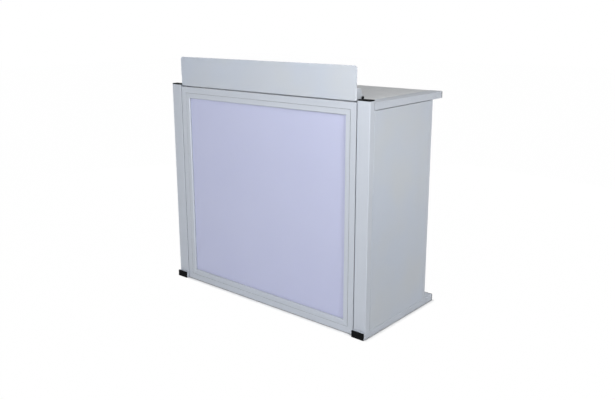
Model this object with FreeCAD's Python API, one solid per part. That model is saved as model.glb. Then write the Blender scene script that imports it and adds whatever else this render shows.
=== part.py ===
import FreeCAD, Part

import math
import os

# A free-standing folding DJ booth of aluminium tube and sheet, in millimetres.
# The origin is on the floor under the middle of the booth: +X is the right side as the
# audience sees it, +Y points to the back, where the operator stands, and +Z is up.

Vec = FreeCAD.Vector
X, Y, Z = Vec(1, 0, 0), Vec(0, 1, 0), Vec(0, 0, 1)

# Overall sizes
BOOTH_WIDTH = 1140.0  # across the posts
BOOTH_DEPTH = 561.0  # from the runners' front caps to the desk arms' rear caps
DESK_HEIGHT = 962.0  # desk top

# The tube that posts, runners and desk arms are cut from, and its end caps
TUBE_WIDE = 60.0
TUBE_THICK = 30.0
TUBE_WALL = 2.0
TUBE_CORNER = 2.5  # outside corner radius
CAP_FLANGE = 5.5
CAP_ROUND = 1.0
PLUG_DEPTH = 16.0
PLUG_WALL = 2.0
PLUG_CLEARANCE = 0.2

# Places of the tubes
POST_RISE = 6.0  # post tube above the desk top, under its cap
FOOT_REACH = 15.5  # runner ahead of the post
RUNNER_SETBACK = 8.0  # runner's rear end ahead of the desk's
CROSS_GAP = 5.0  # cross rail behind the front frame
SPIGOT_HEIGHT = 50.0
SPIGOT_CHAMFER = 3.0
SPIGOT_SEAT = 6.0  # floor of the spigot's counterbores
SPIGOT_SCREW_SHARE = 0.27  # screws from the spigot's middle, as a share of the tube's width

# Front frame: mitred rails, snap-in bezels and the opal panel
RIGHT_GAP = 5.0  # between frame and right post, where the frame's play is
LEFT_GAP = 1.0  # between frame and left post
FRAME_SETBACK = 3.0  # frame face behind the posts' faces
FRAME_FLOOR_GAP = 1.0
FRAME_DROP = 2.0  # frame's top under the desk top
RAIL_FACE = 28.0
RAIL_WALL = 2.0
RAIL_EDGE = 0.8
BEZEL_FACE = 24.5
BEZEL_WALL = 1.6
BEZEL_CHAMFER = 3.0
BEZEL_SETBACK = 0.6
GROOVE_WIDTH = 1.2
GROOVE_DEPTH = 1.8
OPAL_THICK = 4.0
OPAL_RECESS = 10.0  # opal face behind the frame's face
OPAL_MARGIN = 2.0  # opal edge to the rail
REBATE_WALL = 2.0
REBATE_REACH = 18.0
KEY_LEG = 60.0
KEY_CLEARANCE = 0.2
SPACER_RADIUS = 8.0
BOLT_RADIUS = 3.0
BOLT_HEAD_RADIUS = 5.0
BOLT_HEAD = 4.0
BOLT_CLEARANCE = 0.1
SPACER_HEIGHT_SHARES = (0.15, 0.5, 0.85)

# Side leaves
LEAF_THICK = 30.0
LEAF_REACH = 467.0  # leaf's rear edge behind the posts' faces
LEAF_CLEARANCE = 0.5
STILE_WIDTH = 22.0
LEAF_RAIL_HEIGHT = 30.0
LEAF_WALL = 1.5
LEAF_CORNER = 2.5
SHEET = 3.0
SHEET_EASE = 2.0  # bevel on the sheet's front edge
SHADOW_GAP = 2.0  # open line between the side sheet and the desk arm

# Butt hinges between posts and leaves
HINGE_LENGTH = 70.0
HINGE_PLATE = 2.0
HINGE_MARGIN = 1.0
HINGE_RUN = 0.3
KNUCKLE_RADIUS = 3.5
HINGE_PIN_RADIUS = 1.75
PIN_HEAD_RADIUS = 2.6
PIN_HEAD = 1.2
PIN_SEAT_CLEARANCE = 0.02
PIN_RUN_CLEARANCE = 0.06
HINGE_HEIGHT_SHARES = (0.12, 0.5, 0.88)
HINGE_SCREW_SHARE = 0.6
HINGE_SCREW_STEP_SHARE = 0.33

# Desk
DESK_CLEARANCE = 0.5
BOARD_THICK = 12.0
BOARD_CLEARANCE = 0.2
FRONT_RAIL_WIDTH = 40.0  # level with the desk top, and carries the riser
REAR_RAIL_WIDTH = 20.0  # under the board
DESK_RAIL_WALL = 1.5
LEDGE_REACH = 12.0  # front rail's ledge under the board
LEDGE_WALL = 2.0
CLEAT_INSET = 2.0
CLEAT_WIDTH = 18.0
CLEAT_WALL = 2.0
CLEAT_DROP = 28.0
CLEAT_GAP = 0.7  # cleat to the folded leaf
CLEAT_SCREW_SHARES = (0.4, 0.78)
PEG_RADIUS = 2.0
PEG_RISE = 8.0
PEG_SEAT_CLEARANCE = 0.05
PEG_CLEARANCE = 0.3
PEG_SHARE = 0.6

# Corner brackets of base and desk
BRACKET_LEG = 40.0
BRACKET_WALL = 3.0
BRACKET_HEIGHT = 14.0
BRACKET_SCREW_SHARE = 0.65

# Pan-head screws
SCREW_RADIUS = 2.0
SCREW_HEAD_RADIUS = 4.0
SCREW_HEAD = 1.2
SCREW_HEAD_ROUND = 0.6
SCREW_LENGTH = 8.0
SCREW_CLEARANCE = 0.1
SCREW_TIP_GAP = 0.5

# Riser: a bent plate on two pivots
RISER_MARGIN = 1.0  # riser's end inside the frame's end
RISER_GAP = 4.0  # riser's lower edge above the desk top
RISER_HEIGHT = 133.0
RISER_SHEET = 2.5
RISER_CORNER = 12.0
RISER_BEND = 3.0  # outside bend radius
HEM_DEPTH = 22.0  # lower edge turned back under the plate
HEM_RELIEF = 2.0  # hem's end to the wing's bend
WING_HEIGHT = 47.0
WING_DEPTH = 34.5
WING_CORNER = 20.0
WING_EAR = 9.0  # radius of the ear round the pivot
STOP_TOE = 8.5
STOP_GAP = 0.5
PIVOT_BACK = 40.0  # pivot behind the posts' faces
PIVOT_RISE = 14.0  # pivot above the desk top
STUD_RADIUS = 2.5
STUD_HEAD_RADIUS = 4.5
STUD_HEAD = 2.0
STUD_CLEARANCE = 0.08
STUD_SEAT_CLEARANCE = 0.05
STUD_TIP_GAP = 0.5
WASHER = 1.0
WASHER_RADIUS = 7.0
RISER_FOOT = 30.0
RISER_FOOT_LENGTH = 25.0  # bracket's foot behind the pivot
RISER_FOOT_SCREW_SHARES = (0.2, 0.75)
KNOB_RADIUS = 4.8
KNOB_LENGTH = 6.5
KNOB_GAP = 0.3
KNOB_ROOF = 1.5
KNOB_ROUND = 0.8
KNOB_FLUTES = 8
FLUTE_RADIUS = 1.0
FLUTE_DEPTH = 0.45

OVERRUN = 5.0  # how far cutting shapes run past what they cut
FLATNESS = 0.01  # how near to a plane an edge's ends count as on it
PARALLEL_SHARE = 0.999  # least share of an edge's run along a direction that it follows
CUBIC_CENTIMETRE = 1000.0

# Places worked out from the sizes
OUTER = BOOTH_WIDTH / 2
INNER = OUTER - TUBE_WIDE
POST_FRONT = FOOT_REACH - BOOTH_DEPTH / 2
POST_REAR = POST_FRONT + TUBE_THICK
DESK_REAR = BOOTH_DEPTH / 2
RUNNER_TOP = TUBE_THICK
ARM_BOTTOM = DESK_HEIGHT - TUBE_THICK
POST_TOP = DESK_HEIGHT + POST_RISE

FRAME_LEFT = LEFT_GAP - INNER
FRAME_RIGHT = INNER - RIGHT_GAP
FRAME_MIDDLE = (FRAME_LEFT + FRAME_RIGHT) / 2
FRAME_HALF = (FRAME_RIGHT - FRAME_LEFT) / 2
FRAME_FRONT = POST_FRONT + FRAME_SETBACK
FRAME_DEPTH = POST_REAR - FRAME_FRONT
FRAME_TOP = DESK_HEIGHT - FRAME_DROP
FRAME_TALL = FRAME_TOP - FRAME_FLOOR_GAP
FRAME_FACE = RAIL_FACE + BEZEL_FACE

LEAF_FRONT = POST_REAR + LEAF_CLEARANCE
LEAF_REAR = POST_FRONT + LEAF_REACH
LEAF_INNER = OUTER - LEAF_THICK
LEAF_BOTTOM = RUNNER_TOP + LEAF_CLEARANCE
LEAF_TOP = ARM_BOTTOM - LEAF_CLEARANCE
SHEET_TOP = ARM_BOTTOM - SHADOW_GAP

HINGE_X = LEAF_INNER - KNUCKLE_RADIUS - HINGE_PLATE / 4
HINGE_Y = POST_REAR + KNUCKLE_RADIUS + HINGE_PLATE / 2
HINGE_LEAF = LEAF_FRONT + STILE_WIDTH - HINGE_Y - HINGE_MARGIN
HINGE_HEIGHTS = [LEAF_BOTTOM + share * (LEAF_TOP - LEAF_BOTTOM) for share in HINGE_HEIGHT_SHARES]
KNUCKLE_LENGTH = HINGE_LENGTH / 3
FOLDED_LEAF_Y = HINGE_Y + LEAF_INNER - HINGE_X

ARM_FRONT = POST_REAR + DESK_CLEARANCE
ARM_REAR = DESK_REAR - CAP_FLANGE
BOARD_BOTTOM = DESK_HEIGHT - BOARD_THICK

RISER_HALF = FRAME_RIGHT - RISER_MARGIN
RISER_BOTTOM = DESK_HEIGHT + RISER_GAP
RISER_TOP = RISER_BOTTOM + RISER_HEIGHT
WING_TOP = RISER_BOTTOM + WING_HEIGHT
WING_REAR = FRAME_FRONT + WING_DEPTH
PIVOT_Y = POST_FRONT + PIVOT_BACK
PIVOT_Z = DESK_HEIGHT + PIVOT_RISE
RISER_LEG_OUTER = RISER_HALF - RISER_SHEET - WASHER
RISER_LEG_INNER = RISER_LEG_OUTER - BRACKET_WALL


def box(low, high):
    """Box between two corners."""
    low, high = Vec(*low), Vec(*high)
    return Part.makeBox(high.x - low.x, high.y - low.y, high.z - low.z, low)


def rod(start, direction, length, radius):
    """Cylinder from a point along a direction."""
    return Part.makeCylinder(radius, length, Vec(start), direction)


def prism(points, travel):
    """Solid swept from a closed polygon along a straight travel."""
    corners = [Vec(point) for point in points]
    return Part.Face(Part.makePolygon(corners + corners[:1])).extrude(travel)


def edges_along(solid, direction):
    """Straight edges of a solid that run along a direction."""
    found = []
    for edge in solid.Edges:
        run = edge.Vertexes[-1].Point - edge.Vertexes[0].Point
        if run.Length > 0 and abs(run.dot(direction)) > run.Length * PARALLEL_SHARE:
            found.append(edge)
    return found


def tube(low, high, axis, wall, corner):
    """Rectangular tube along an axis, rounded on its long outer edges and open at both ends."""
    body = box(low, high)
    body = body.makeFillet(corner, edges_along(body, axis))
    across = X + Y + Z - axis
    inset = across * wall - axis * OVERRUN
    return body.cut(box(Vec(*low) + inset, Vec(*high) - inset))


def end_cap(low, high, axis):
    """Cap whose flange lies beyond a tube's end, with a hollow plug inside the tube.

    low and high bound the tube's section at that end, and axis points out of the tube.
    """
    low, high = Vec(*low), Vec(*high)
    along = Vec(abs(axis.x), abs(axis.y), abs(axis.z))
    across = X + Y + Z - along
    flange = box_between(low, high + axis * CAP_FLANGE)
    flange = flange.makeFillet(TUBE_CORNER, edges_along(flange, along))
    rim = [edge for edge in flange.Edges if on_plane(edge, low + axis * CAP_FLANGE, axis)]
    flange = flange.makeFillet(CAP_ROUND, rim)
    inset = across * (TUBE_WALL + PLUG_CLEARANCE)
    plug = box_between(low + inset - axis * PLUG_DEPTH, high - inset)
    bore = across * (TUBE_WALL + PLUG_CLEARANCE + PLUG_WALL)
    hollow = box_between(low + bore - axis * (PLUG_DEPTH + OVERRUN), high - bore)
    return flange.fuse(plug.cut(hollow)).removeSplitter()


def box_between(first, second):
    """Box between any two opposite corners."""
    pairs = [sorted(pair) for pair in zip(first, second)]
    return box([low for low, _ in pairs], [high for _, high in pairs])


def on_plane(edge, point, normal):
    """True where all of an edge lies on a plane."""
    return all(abs((vertex.Point - point).dot(normal)) < FLATNESS for vertex in edge.Vertexes)


def screws(places, into):
    """One pan-head screw for each place, which is the middle of its head's seat."""
    made = []
    for place in places:
        head = rod(place, into * -1, SCREW_HEAD, SCREW_HEAD_RADIUS)
        top = place - into * SCREW_HEAD
        rim = [edge for edge in head.Edges if edge.Closed and on_plane(edge, top, into)]
        head = head.makeFillet(SCREW_HEAD_ROUND, rim)
        made.append(head.fuse(rod(place, into, SCREW_LENGTH, SCREW_RADIUS)).removeSplitter())
    return made


def drilled(shape, places, into):
    """A shape with a hole for the screw at each place."""
    for place in places:
        start = Vec(place) - into * SCREW_HEAD
        depth = SCREW_HEAD + SCREW_LENGTH + SCREW_TIP_GAP
        shape = shape.cut(rod(start, into, depth, SCREW_RADIUS + SCREW_CLEARANCE))
    return shape


def mirrored(shape):
    """The same shape on the left side."""
    return shape.mirror(Vec(0, 0, 0), X)


def both(shapes):
    """The right side's shapes followed by the left side's."""
    return shapes + [mirrored(shape) for shape in shapes]


def angle_bracket(corner, along_x, along_y, middle):
    """Bracket in an inside corner, with one screw in each leg.

    along_x and along_y point along the two legs from the corner. Returns the bracket and
    the (places, direction) of its two screws.
    """
    corner = Vec(*corner, middle - BRACKET_HEIGHT / 2)
    leg_x, leg_y = along_x * BRACKET_LEG, along_y * BRACKET_LEG
    wall_x, wall_y = along_x * BRACKET_WALL, along_y * BRACKET_WALL
    outline = [corner, corner + leg_x, corner + leg_x + wall_y, corner + wall_x + wall_y,
               corner + leg_y + wall_x, corner + leg_y]
    solid = prism(outline, Z * BRACKET_HEIGHT)
    rise = Z * (BRACKET_HEIGHT / 2)
    on_x = corner + leg_x * BRACKET_SCREW_SHARE + wall_y + rise
    on_y = corner + leg_y * BRACKET_SCREW_SHARE + wall_x + rise
    fixings = [(on_x, along_y * -1), (on_y, along_x * -1)]
    for place, into in fixings:
        solid = drilled(solid, [place], into)
    return solid, fixings


# Base: two runners, a cross rail, corner brackets and the spigots that the posts drop over

def make_base():
    """Nodes of the base."""
    front = POST_FRONT - FOOT_REACH + CAP_FLANGE
    rear = DESK_REAR - RUNNER_SETBACK - CAP_FLANGE
    runner = tube((INNER, front, 0), (OUTER, rear, RUNNER_TOP), Y, TUBE_WALL, TUBE_CORNER)
    cross_front = POST_REAR + CROSS_GAP
    cross_rear = cross_front + TUBE_WIDE
    cross = tube((-INNER, cross_front, 0), (INNER, cross_rear, RUNNER_TOP), X, TUBE_WALL, TUBE_CORNER)
    bracket, fixings = angle_bracket((INNER, cross_rear), X * -1, Y, RUNNER_TOP / 2)
    runner = drilled(runner, [fixings[1][0]], fixings[1][1])
    corner_places = [fixings[0][0], mirror_point(fixings[0][0])]
    cross = drilled(cross, corner_places, fixings[0][1])

    spigot, seats = make_spigot()
    runner = drilled(runner, seats, Z * -1)
    made_screws = screws(seats, Z * -1)
    for place, into in fixings:
        made_screws += screws([place], into)
    cap_front = end_cap((INNER, front, 0), (OUTER, front, RUNNER_TOP), Y * -1)
    cap_rear = end_cap((INNER, rear, 0), (OUTER, rear, RUNNER_TOP), Y)
    return {
        "runner_right": [runner],
        "runner_left": [mirrored(runner)],
        "runner_caps_front": both([cap_front]),
        "runner_caps_rear": both([cap_rear]),
        "base_cross_rail": [cross],
        "base_corner_brackets": both([bracket]),
        "post_spigots": both([spigot]),
        "base_screws": both(made_screws),
    }


def mirror_point(point):
    """The same place on the left side."""
    return Vec(-point.x, point.y, point.z)


def make_spigot():
    """Block that fills the foot of a post, and the seats of its two screws."""
    inset = TUBE_WALL + PLUG_CLEARANCE
    low = Vec(INNER + inset, POST_FRONT + inset, RUNNER_TOP)
    high = Vec(OUTER - inset, POST_REAR - inset, RUNNER_TOP + SPIGOT_HEIGHT)
    block = box(low, high)
    top_edges = [edge for edge in block.Edges if on_plane(edge, high, Z)]
    block = block.makeChamfer(SPIGOT_CHAMFER, top_edges)
    middle_x, middle_y = (low.x + high.x) / 2, (low.y + high.y) / 2
    step = TUBE_WIDE * SPIGOT_SCREW_SHARE
    seats = [Vec(middle_x + side * step, middle_y, RUNNER_TOP + SPIGOT_SEAT) for side in (-1, 1)]
    for seat in seats:
        block = block.cut(rod(seat, Z, SPIGOT_HEIGHT, SCREW_HEAD_RADIUS + PLUG_CLEARANCE))
    return drilled(block, seats, Z * -1), seats


# Front: posts, the mitred frame with its bezels and opal panel, and the desk's cleats

def frame_sides():
    """Each side of the frame: middle of its outer front edge, run, inward direction, half length."""
    middle = FRAME_FLOOR_GAP + FRAME_TALL / 2
    half_tall = FRAME_TALL / 2
    return {
        "top": (Vec(FRAME_MIDDLE, FRAME_FRONT, FRAME_TOP), X, Z * -1, FRAME_HALF),
        "bottom": (Vec(FRAME_MIDDLE, FRAME_FRONT, FRAME_FLOOR_GAP), X, Z, FRAME_HALF),
        "left": (Vec(FRAME_LEFT, FRAME_FRONT, middle), Z, X, half_tall),
        "right": (Vec(FRAME_RIGHT, FRAME_FRONT, middle), Z, X * -1, half_tall),
    }


def mitred(side, outline, hollow=None):
    """Bar of a section given as (inward, back) points, mitred at both ends."""
    origin, along, inward, half = side
    start = origin - along * half

    def bar(points):
        return prism([start + inward * u + Y * v for u, v in points], along * (2 * half))

    solid = bar(outline)
    if hollow:
        solid = solid.cut(bar(hollow))
    ends = [(-half, 0), (half, 0), (half - FRAME_FACE, FRAME_FACE), (FRAME_FACE - half, FRAME_FACE)]
    trim = [origin + along * s + inward * u - Y * OVERRUN for s, u in ends]
    return solid.common(prism(trim, Y * (FRAME_DEPTH + 2 * OVERRUN)))


def rail_section():
    """Outline and hollow of a frame rail: a box with a rebate flange behind the opal panel."""
    flange_front = OPAL_RECESS + OPAL_THICK
    flange_rear = flange_front + REBATE_WALL
    reach = RAIL_FACE + REBATE_REACH
    outline = [(0, RAIL_EDGE), (RAIL_EDGE, 0), (RAIL_FACE - RAIL_EDGE, 0), (RAIL_FACE, RAIL_EDGE),
               (RAIL_FACE, flange_front), (reach, flange_front), (reach, flange_rear),
               (RAIL_FACE, flange_rear), (RAIL_FACE, FRAME_DEPTH), (0, FRAME_DEPTH)]
    near, far, deep = RAIL_WALL, RAIL_FACE - RAIL_WALL, FRAME_DEPTH - RAIL_WALL
    return outline, [(near, near), (far, near), (far, deep), (near, deep)]


def bezel_section():
    """Outline of a bezel: a channel that hooks on the rail and presses on the opal panel."""
    lip_in = FRAME_FACE - BEZEL_WALL
    roof = BEZEL_SETBACK + BEZEL_WALL
    hook = RAIL_FACE + GROOVE_WIDTH
    return [(hook, BEZEL_SETBACK), (FRAME_FACE - BEZEL_CHAMFER, BEZEL_SETBACK),
            (FRAME_FACE, BEZEL_SETBACK + BEZEL_CHAMFER), (FRAME_FACE, OPAL_RECESS), (lip_in, OPAL_RECESS),
            (lip_in, roof + BEZEL_CHAMFER), (lip_in - BEZEL_CHAMFER, roof), (hook + BEZEL_WALL, roof),
            (hook + BEZEL_WALL, OPAL_RECESS), (RAIL_FACE, OPAL_RECESS), (RAIL_FACE, GROOVE_DEPTH),
            (hook, GROOVE_DEPTH)]


def corner_keys():
    """L-shaped keys inside the rails at the frame's four corners."""
    inset = RAIL_WALL + KEY_CLEARANCE
    band = RAIL_FACE - 2 * inset
    front, rear = FRAME_FRONT + inset, POST_REAR - inset
    keys = []
    for outer, inward in ((FRAME_RIGHT - inset, -1), (FRAME_LEFT + inset, 1)):
        for edge, up in ((FRAME_FLOOR_GAP + inset, 1), (FRAME_TOP - inset, -1)):
            corner = Vec(outer, front, edge)
            flat = box_between(corner, Vec(outer + inward * KEY_LEG, rear, edge + up * band))
            upright = box_between(corner, Vec(outer + inward * band, rear, edge + up * KEY_LEG))
            keys.append(flat.fuse(upright).removeSplitter())
    return keys


def spacer_set(gap):
    """Spacers in a right-hand gap of that width, their bolts, and the holes that the bolts need."""
    middle = FRAME_FRONT + FRAME_DEPTH / 2
    heights = [FRAME_FLOOR_GAP + share * FRAME_TALL for share in SPACER_HEIGHT_SHARES]
    edge = INNER - gap
    inside = edge - RAIL_WALL
    beyond = INNER + TUBE_WALL
    spacers, bolts, holes = [], [], []
    for height in heights:
        hole = rod((inside - BOLT_HEAD, middle, height), X, beyond + 2 * BOLT_HEAD - inside,
                   BOLT_RADIUS + BOLT_CLEARANCE)
        disc = rod((edge, middle, height), X, gap, SPACER_RADIUS)
        spacers.append(disc.cut(hole))
        bolt = rod((inside - BOLT_HEAD, middle, height), X, beyond + 2 * BOLT_HEAD - inside, BOLT_RADIUS)
        head = rod((inside - BOLT_HEAD, middle, height), X, BOLT_HEAD, BOLT_HEAD_RADIUS)
        nut = rod((beyond, middle, height), X, BOLT_HEAD, BOLT_HEAD_RADIUS)
        bolts.append(bolt.fuse([head, nut]).removeSplitter())
        holes.append(hole)
    return spacers, bolts, holes


def make_cleat():
    """Angle under the desk arm's front end, its peg, and the places of its screws."""
    near = INNER + CLEAT_INSET
    far = near + CLEAT_WIDTH
    reach = FOLDED_LEAF_Y - CLEAT_GAP
    drop = ARM_BOTTOM - CLEAT_DROP
    shelf = ARM_BOTTOM - CLEAT_WALL
    back = POST_REAR + CLEAT_WALL
    outline = [(POST_REAR, drop), (back, drop), (back, shelf), (reach, shelf), (reach, ARM_BOTTOM),
               (POST_REAR, ARM_BOTTOM)]
    cleat = prism([(near, y, z) for y, z in outline], X * CLEAT_WIDTH)
    middle = (near + far) / 2
    foot = Vec(middle, POST_REAR + PEG_SHARE * (reach - POST_REAR), shelf)
    peg = rod(foot, Z, CLEAT_WALL + PEG_RISE, PEG_RADIUS)
    cleat = cleat.cut(rod(foot - Z * OVERRUN, Z, 2 * OVERRUN, PEG_RADIUS + PEG_SEAT_CLEARANCE))
    places = [Vec(middle, back, ARM_BOTTOM - share * CLEAT_DROP) for share in CLEAT_SCREW_SHARES]
    return drilled(cleat, places, Y * -1), peg, foot, places


def make_front():
    """Nodes of the front, without its hinge plates."""
    post = tube((INNER, POST_FRONT, RUNNER_TOP), (OUTER, POST_REAR, POST_TOP), Z, TUBE_WALL, TUBE_CORNER)
    cap = end_cap((INNER, POST_FRONT, POST_TOP), (OUTER, POST_REAR, POST_TOP), Z)
    spacers, bolts, holes = spacer_set(RIGHT_GAP)
    left_spacers, left_bolts, left_holes = ([mirrored(one) for one in kind] for kind in spacer_set(LEFT_GAP))
    cleat, peg, _, cleat_places = make_cleat()
    post = drilled(post.cut(holes), cleat_places, Y * -1)
    post = drilled(post, post_hinge_screw_places(), Y * -1)

    nodes = {
        "post_right": [post],
        "post_left": [mirrored(post)],
        "post_cap_right": [cap],
        "post_cap_left": [mirrored(cap)],
        "frame_corner_keys": corner_keys(),
        "frame_spacers": spacers + left_spacers,
        "frame_bolts": bolts + left_bolts,
        "desk_cleats": both([cleat]),
        "desk_pegs": both([peg]),
        "cleat_screws": both(screws(cleat_places, Y * -1)),
    }
    sides = frame_sides()
    rails = {name: mitred(side, *rail_section()) for name, side in sides.items()}
    rails["right"] = rails["right"].cut(holes)
    rails["left"] = rails["left"].cut(left_holes)
    for name, side in sides.items():
        nodes["frame_rail_" + name] = [rails[name]]
        nodes["frame_bezel_" + name] = [mitred(side, bezel_section())]

    edge = RAIL_FACE + OPAL_MARGIN
    face = FRAME_FRONT + OPAL_RECESS
    opal = box((FRAME_LEFT + edge, face, FRAME_FLOOR_GAP + edge),
               (FRAME_RIGHT - edge, face + OPAL_THICK, FRAME_TOP - edge))
    nodes["opal_panel"] = [opal]
    return nodes


# Butt hinges

def post_hinge_screw_places():
    """Seats of the screws that hold the right-hand hinge plates to the post."""
    across = HINGE_X - HINGE_SCREW_SHARE * HINGE_LEAF
    step = HINGE_SCREW_STEP_SHARE * HINGE_LENGTH
    return [Vec(across, POST_REAR + HINGE_PLATE, height + side * step)
            for height in HINGE_HEIGHTS for side in (-1, 1)]


def leaf_hinge_screw_places():
    """Seats of the screws that hold the right-hand hinge plates to the leaf."""
    back = HINGE_Y + HINGE_SCREW_SHARE * HINGE_LEAF
    step = HINGE_SCREW_STEP_SHARE * HINGE_LENGTH
    return [Vec(LEAF_INNER - HINGE_PLATE, back, height + side * step)
            for height in HINGE_HEIGHTS for side in (-1, 1)]


def knuckle(start, length, bore):
    """One knuckle of a hinge and the bore to cut through it."""
    foot = Vec(HINGE_X, HINGE_Y, start)
    return rod(foot, Z, length, KNUCKLE_RADIUS), rod(foot - Z * OVERRUN, Z, length + 2 * OVERRUN, bore)


def hinge(height):
    """Post plate, leaf plate and pin of one right-hand hinge."""
    bottom, top = height - HINGE_LENGTH / 2, height + HINGE_LENGTH / 2
    low_joint, high_joint = bottom + KNUCKLE_LENGTH, top - KNUCKLE_LENGTH
    clear = KNUCKLE_RADIUS + HINGE_RUN
    far = HINGE_X + OVERRUN

    plate = box((HINGE_X - HINGE_LEAF, POST_REAR, bottom), (HINGE_X, POST_REAR + HINGE_PLATE, top))
    plate = plate.cut(box((HINGE_X - clear, POST_REAR - OVERRUN, low_joint - HINGE_RUN),
                          (far, POST_REAR + OVERRUN, high_joint + HINGE_RUN)))
    seat = HINGE_PIN_RADIUS + PIN_SEAT_CLEARANCE
    for start in (bottom, high_joint + HINGE_RUN):
        barrel, bore = knuckle(start, KNUCKLE_LENGTH - HINGE_RUN, seat)
        plate = plate.fuse(barrel).cut(bore)

    moving = box((LEAF_INNER - HINGE_PLATE, HINGE_Y, bottom), (LEAF_INNER, HINGE_Y + HINGE_LEAF, top))
    for start, end in ((bottom - OVERRUN, low_joint + HINGE_RUN), (high_joint - HINGE_RUN, top + OVERRUN)):
        moving = moving.cut(box((LEAF_INNER - OVERRUN, HINGE_Y - OVERRUN, start),
                                (LEAF_INNER + OVERRUN, HINGE_Y + clear, end)))
    barrel, bore = knuckle(low_joint + HINGE_RUN, KNUCKLE_LENGTH - 2 * HINGE_RUN,
                           HINGE_PIN_RADIUS + PIN_RUN_CLEARANCE)
    moving = moving.fuse(barrel).cut(bore)

    foot = Vec(HINGE_X, HINGE_Y, bottom)
    pin = rod(foot, Z, HINGE_LENGTH, HINGE_PIN_RADIUS)
    heads = [rod(foot - Z * PIN_HEAD, Z, PIN_HEAD, PIN_HEAD_RADIUS),
             rod(foot + Z * HINGE_LENGTH, Z, PIN_HEAD, PIN_HEAD_RADIUS)]
    return plate.removeSplitter(), moving.removeSplitter(), pin.fuse(heads).removeSplitter()


def make_hinges():
    """Hinge nodes of both sides."""
    sets = [hinge(height) for height in HINGE_HEIGHTS]
    post_places, leaf_places = post_hinge_screw_places(), leaf_hinge_screw_places()
    plates = [drilled(plate, post_places, Y * -1) for plate, _, _ in sets]
    moving = [drilled(plate, leaf_places, X) for _, plate, _ in sets]
    leaf_screws = screws(leaf_places, X)
    return {
        "post_hinge_plates": both(plates),
        "hinge_pins": both([pin for _, _, pin in sets]),
        "post_hinge_screws": both(screws(post_places, Y * -1)),
        "leaf_hinge_plates_right": moving,
        "leaf_hinge_plates_left": [mirrored(plate) for plate in moving],
        "leaf_hinge_screws_right": leaf_screws,
        "leaf_hinge_screws_left": [mirrored(screw) for screw in leaf_screws],
    }


# Side leaves: a tube frame with a flush sheet between the post and the rear stile

def make_leaves():
    """Nodes of both side leaves."""
    backing = OUTER - SHEET
    rear_stile_front = LEAF_REAR - STILE_WIDTH
    hinge_stile_rear = LEAF_FRONT + STILE_WIDTH
    sheet = [(backing, LEAF_FRONT), (OUTER - SHEET_EASE, LEAF_FRONT), (OUTER, LEAF_FRONT + SHEET_EASE),
             (OUTER, rear_stile_front), (backing, rear_stile_front)]

    def bar(low, high, axis):
        return tube(low, high, axis, LEAF_WALL, LEAF_CORNER)

    hinge_stile = bar((LEAF_INNER, LEAF_FRONT, LEAF_BOTTOM), (backing, hinge_stile_rear, LEAF_TOP), Z)
    pieces = {
        "hinge_stile": drilled(hinge_stile, leaf_hinge_screw_places(), X),
        "rear_stile": bar((LEAF_INNER, rear_stile_front, LEAF_BOTTOM), (OUTER, LEAF_REAR, LEAF_TOP), Z),
        "leaf_top_rail": bar((LEAF_INNER, hinge_stile_rear, SHEET_TOP - LEAF_RAIL_HEIGHT),
                             (backing, rear_stile_front, SHEET_TOP), Y),
        "leaf_bottom_rail": bar((LEAF_INNER, hinge_stile_rear, LEAF_BOTTOM),
                                (backing, rear_stile_front, LEAF_BOTTOM + LEAF_RAIL_HEIGHT), Y),
        "side_panel": prism([(x, y, LEAF_BOTTOM) for x, y in sheet], Z * (SHEET_TOP - LEAF_BOTTOM)),
    }
    nodes = {}
    for name, piece in pieces.items():
        nodes[name + "_right"] = [piece]
        nodes[name + "_left"] = [mirrored(piece)]
    return nodes


# Desk: two arms, two rails, the board, and the brackets that carry the riser

def make_front_rail():
    """Hollow rail level with the desk top, with a ledge behind it that the board's front edge lies on."""
    rear = ARM_FRONT + FRONT_RAIL_WIDTH
    ledge = rear + LEDGE_REACH
    under = BOARD_BOTTOM - LEDGE_WALL
    outline = [(ARM_FRONT, ARM_BOTTOM), (rear, ARM_BOTTOM), (rear, under), (ledge, under),
               (ledge, BOARD_BOTTOM), (rear, BOARD_BOTTOM), (rear, DESK_HEIGHT), (ARM_FRONT, DESK_HEIGHT)]
    rail = prism([(-INNER, y, z) for y, z in outline], X * (2 * INNER))
    hollow = box((-INNER - OVERRUN, ARM_FRONT + DESK_RAIL_WALL, ARM_BOTTOM + DESK_RAIL_WALL),
                 (INNER + OVERRUN, rear - DESK_RAIL_WALL, DESK_HEIGHT - DESK_RAIL_WALL))
    return rail.cut(hollow)


def make_rear_rail():
    """Tube under the board's rear edge."""
    return tube((-INNER, ARM_REAR - REAR_RAIL_WIDTH, ARM_BOTTOM), (INNER, ARM_REAR, BOARD_BOTTOM), X,
                DESK_RAIL_WALL, LEAF_CORNER)


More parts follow.
